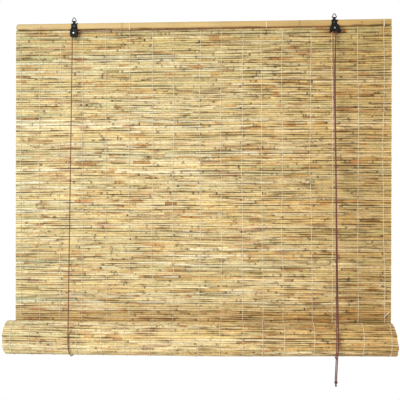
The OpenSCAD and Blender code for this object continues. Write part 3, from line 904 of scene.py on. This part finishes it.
# ------------------------------------------------------------------ battens
def slat(name, inner, outer, patches, seed, knots, body="head", node=None):
    """A split-bamboo slat: a lofted section with eased edges, low joints and brown patches along its lower edge."""
    r = np.random.default_rng(seed)
    x = np.unique(np.concatenate([np.linspace(-444.5, 451.5, 150)] + [np.array([k - 4, k - 1.5, k, k + 1.5, k + 4]) for k in knots]))
    out = 1 if outer > inner else -1
    depth = abs(outer - inner)
    # section, from the inner lower edge round the outer face to the inner upper edge: depth share, height share
    corner = [(0.0, 0.0, 0), (0.5, 0.0, 0), (0.80, 0.0, 0), (0.90, 0.012, 0), (0.965, 0.045, 0), (0.99, 0.09, 0)]
    face = [(1.0, 0.16), (1.0, 0.26), (1.0, 0.38), (1.0, 0.5), (1.0, 0.62), (1.0, 0.74), (1.0, 0.84)]
    sec = [(d, h) for d, h, _ in corner] + face + [(d, 1 - h) for d, h, _ in corner[::-1]]
    d = np.array([q[0] for q in sec])
    h = np.array([q[1] for q in sec])
    low = 0.28 + 0.22 * wander(x, 60, r)
    high = 0.18 + 0.14 * wander(x, 90, r)
    ridge = sum(np.exp(-((x - k) / 2.2) ** 2) for k in knots) if knots else 0 * x
    zb = BATTEN_BOT + np.clip(low, 0, 0.9) - 0.1 * ridge
    zt = BATTEN_TOP - np.clip(high, 0, 0.6) + 0.1 * ridge
    sink = 0.12 + 0.08 * wander(x, 50, r) - 0.15 * ridge
    yy = inner + out * depth * d[None, :] - out * np.clip(sink, 0, 0.4)[:, None] * (d[None, :] > 0.85)
    zz = zb[:, None] + (zt - zb)[:, None] * h[None, :]
    R = np.stack([np.repeat(x[:, None], len(d), 1), yy, zz], -1)
    tone = lin(203, 175, 115)
    c = np.repeat(np.repeat(tone[None, None], len(x), 0), len(d), 1)
    c = c * (1 + 0.05 * wander(x, 40, r) + 0.04 * wander(x, 130, r))[:, None, None]
    for k in range(len(d)):
        c[:, k] *= (1 + 0.06 * wander(x, 85, r))[:, None]
    up = np.repeat(h[None, :], len(x), 0)
    edge = smooth(0.86, 1.0, up)[..., None]
    c = c * (1 - edge) + lin(168, 148, 98) * edge
    foot = (1 - smooth(0.0, 0.30, up))[..., None] * 0.45
    c = c * (1 - foot) + lin(186, 146, 88) * foot
    for x0, x1, height, depthness, tint in patches:
        along = smooth(x0 - 6, x0 + 8, x) * (1 - smooth(x1 - 14, x1 + 6, x)) * np.clip(0.75 + 0.35 * wander(x, 14, r), 0, 1)
        weight = along[:, None] * (1 - smooth(height * 0.5, height, up)) * depthness
        c = c * (1 - weight[..., None]) + np.asarray(tint) * weight[..., None]
    if knots:
        weight = np.clip(ridge, 0, 1)[:, None] * 0.5
        c = c * (1 - weight[..., None]) + lin(150, 112, 62) * weight[..., None]
    # the slat shares the mat's tone across, with its painted shade towards the right, a little weaker
    c = c * tint_and_shade_across(x)[:, None] ** 0.8
    c = c * (1 - (1 - smooth(-330, -280, x))[:, None, None] * np.array([0.05, 0.065, 0.17]))
    pile = Pile()
    flip = out > 0
    pile.rings(R, c, not flip)
    for e, s in ((0, -1), (-1, 1)):
        mid = R[e].mean(0)
        rings = np.stack([R[e], mid + (R[e] - mid) * 0.5])
        tone = np.stack([c[e] * 0.72, c[e] * 0.6])
        if s < 0:
            rings, tone = rings[::-1], tone[::-1]
        pile.rings(rings, tone, not flip, cap=(s < 0, s > 0))
    o = pile.build(name, BATTEN, body)
    if node:
        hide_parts(node)
    return o


rust = lin(128, 74, 36)
umber = lin(104, 70, 36)
slat("head_slat_front", 6.8, 0.8, [(-445, -412, 0.26, 0.75, umber), (-404, -362, 0.42, 0.85, rust), (-362, -332, 0.20, 0.5, umber), (-292, -210, 0.16, 0.55, umber),
                                   (-150, -118, 0.2, 0.6, rust), (-40, 40, 0.14, 0.4, umber), (96, 150, 0.16, 0.45, rust), (356, 392, 0.22, 0.65, umber), (400, 452, 0.24, 0.8, umber)],
     31, [-188.0, 236.0], node="head_batten_front")
slat("head_slat_back", 11.6, 17.6, [(-300, -240, 0.3, 0.6, umber), (60, 140, 0.3, 0.6, rust), (330, 400, 0.25, 0.6, umber)], 32, [-96.0, 318.0], node="head_batten_back")

# ------------------------------------------------------------------ string ties round the battens, and loose ends
pile = Pile()
tie_rng = np.random.default_rng(77)
for x in (-169.5, 158.0, 434.0):
    for turn in range(2):
        slant = tie_rng.uniform(-0.5, 0.5)
        dx = -0.6 + 1.2 * turn
        y0, y1, z0, z1 = 0.8 - 0.55, 17.6 - 0.65, BATTEN_BOT - 0.55, BATTEN_TOP + 0.5
        ring = [(dx, y0 + 1.2, z0), (dx, y0 + 0.25, z0 + 0.4), (dx + slant * 0.2, y0, z0 + 1.6), (dx + slant * 0.5, y0, (z0 + z1) / 2), (dx + slant, y0, z1 - 1.6),
                (dx + slant, y0 + 0.25, z1 - 0.3), (dx + slant, y0 + 1.2, z1), (dx + slant, (y0 + y1) / 2, z1), (dx + slant, y1 - 1.2, z1), (dx + slant, y1 - 0.2, z1 - 0.4),
                (dx + slant, y1, z1 - 1.6), (dx, y1, (z0 + z1) / 2), (dx, y1, z0 + 1.6), (dx, y1 - 0.2, z0 + 0.4), (dx, y1 - 1.2, z0), (dx, (y0 + y1) / 2, z0), (dx, y0 + 1.2, z0)]
        yarn(pile, spline([(x + p[0], p[1], p[2]) for p in ring], 1.0), 0.58, CREAM, 6, tie_rng)
    # its knot and two short ends, on the front
    t = np.linspace(0, 2 * np.pi, 48)
    yarn(pile, np.stack([x + (np.sin(t) + 2 * np.sin(2 * t)) * 0.42, 0.1 - np.sin(3 * t) * 0.5, BATTEN_BOT - 1.6 + (np.cos(t) - 2 * np.cos(2 * t)) * 0.42], 1), 0.42, CREAM, 6, tie_rng)
ties = pile.build("batten_ties_string", STRING, "head")
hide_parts("batten_ties")

# loose string ends near the right edge
pile = Pile()
front = Y0 - 2.6
for pts in ([(434.0, front - 0.4, -715.0), (436.5, front - 0.7, -713.0), (440.5, front - 0.9, -709.0), (445.5, front - 0.7, -704.5)],
            [(434.0, front - 0.4, -632.0), (431.0, front - 1.1, -633.5), (426.5, front - 1.5, -639.0), (421.5, front - 1.0, -645.0)]):
    yarn(pile, spline(pts, 1.2), 0.7, lin(252, 244, 220), 6, tie_rng)
tails = pile.build("string_ends_panel", STRING, "head")

# ------------------------------------------------------------------ own mesh data for the panel rows, panel strings and loose string ends
for o in panel_pieces + [panel_strings, tails]:
    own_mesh(o)

# ------------------------------------------------------------------ CAD parts that stay
for names, mat in ((("left_hanger_strap", "right_hanger_strap", "left_hanger_ring", "right_hanger_ring"), BLACK),
                   (("left_pulley", "right_pulley"), PULLEY), (("lock_cam",), CAM),
                   (("left_pulley_pin", "right_pulley_pin"), RIVET), (("lock_cam_pin",), BLACK),
                   (("batten_nails",), NAIL), (("left_hanger_nail", "right_hanger_nail"), STUD)):
    for n in names:
        nodes[n].data.materials.clear()
        nodes[n].data.materials.append(mat)
pile = Pile()
xs = np.linspace(-455.5, 444.5, 24)
edge_sec = np.array([(-3, -10.2), (-2.2, -11), (2.2, -11), (3, -10.2), (3, 10.2), (2.2, 11), (-2.2, 11), (-3, 10.2)], float)
R = np.stack([np.stack([0 * edge_sec[:, 0] + x, ROLL_Y + edge_sec[:, 0] * 0.98, ROLL_Z + edge_sec[:, 1] * 0.98 + float(lean(x)[1])], 1) for x in xs])
C = np.repeat((lin(214, 180, 118)[None] * (1 + 0.05 * wander(xs, 60, rng))[:, None])[:, None], 8, 1)
pile.rings(R, C, False, cap=(True, True))
core = pile.build("bottom_slat", BATTEN, "roll", smooth_faces=False)
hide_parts("bottom_batten")

# ------------------------------------------------------------------ floor
mesh = bpy.data.meshes.new("floor")
mesh.from_pydata([(-3, -2.6, -2.6), (3, -2.6, -2.6), (3, 2.6, -2.6), (-3, 2.6, -2.6)], [], [(0, 1, 2, 3)])
floor_mat, ft, fp = material("floor")
fp.inputs["Base Color"].default_value = (0.86, 0.86, 0.85, 1)
fp.inputs["Roughness"].default_value = 0.8
mesh.materials.append(floor_mat)
floor = bpy.data.objects.new("floor", mesh)
scene.collection.objects.link(floor)
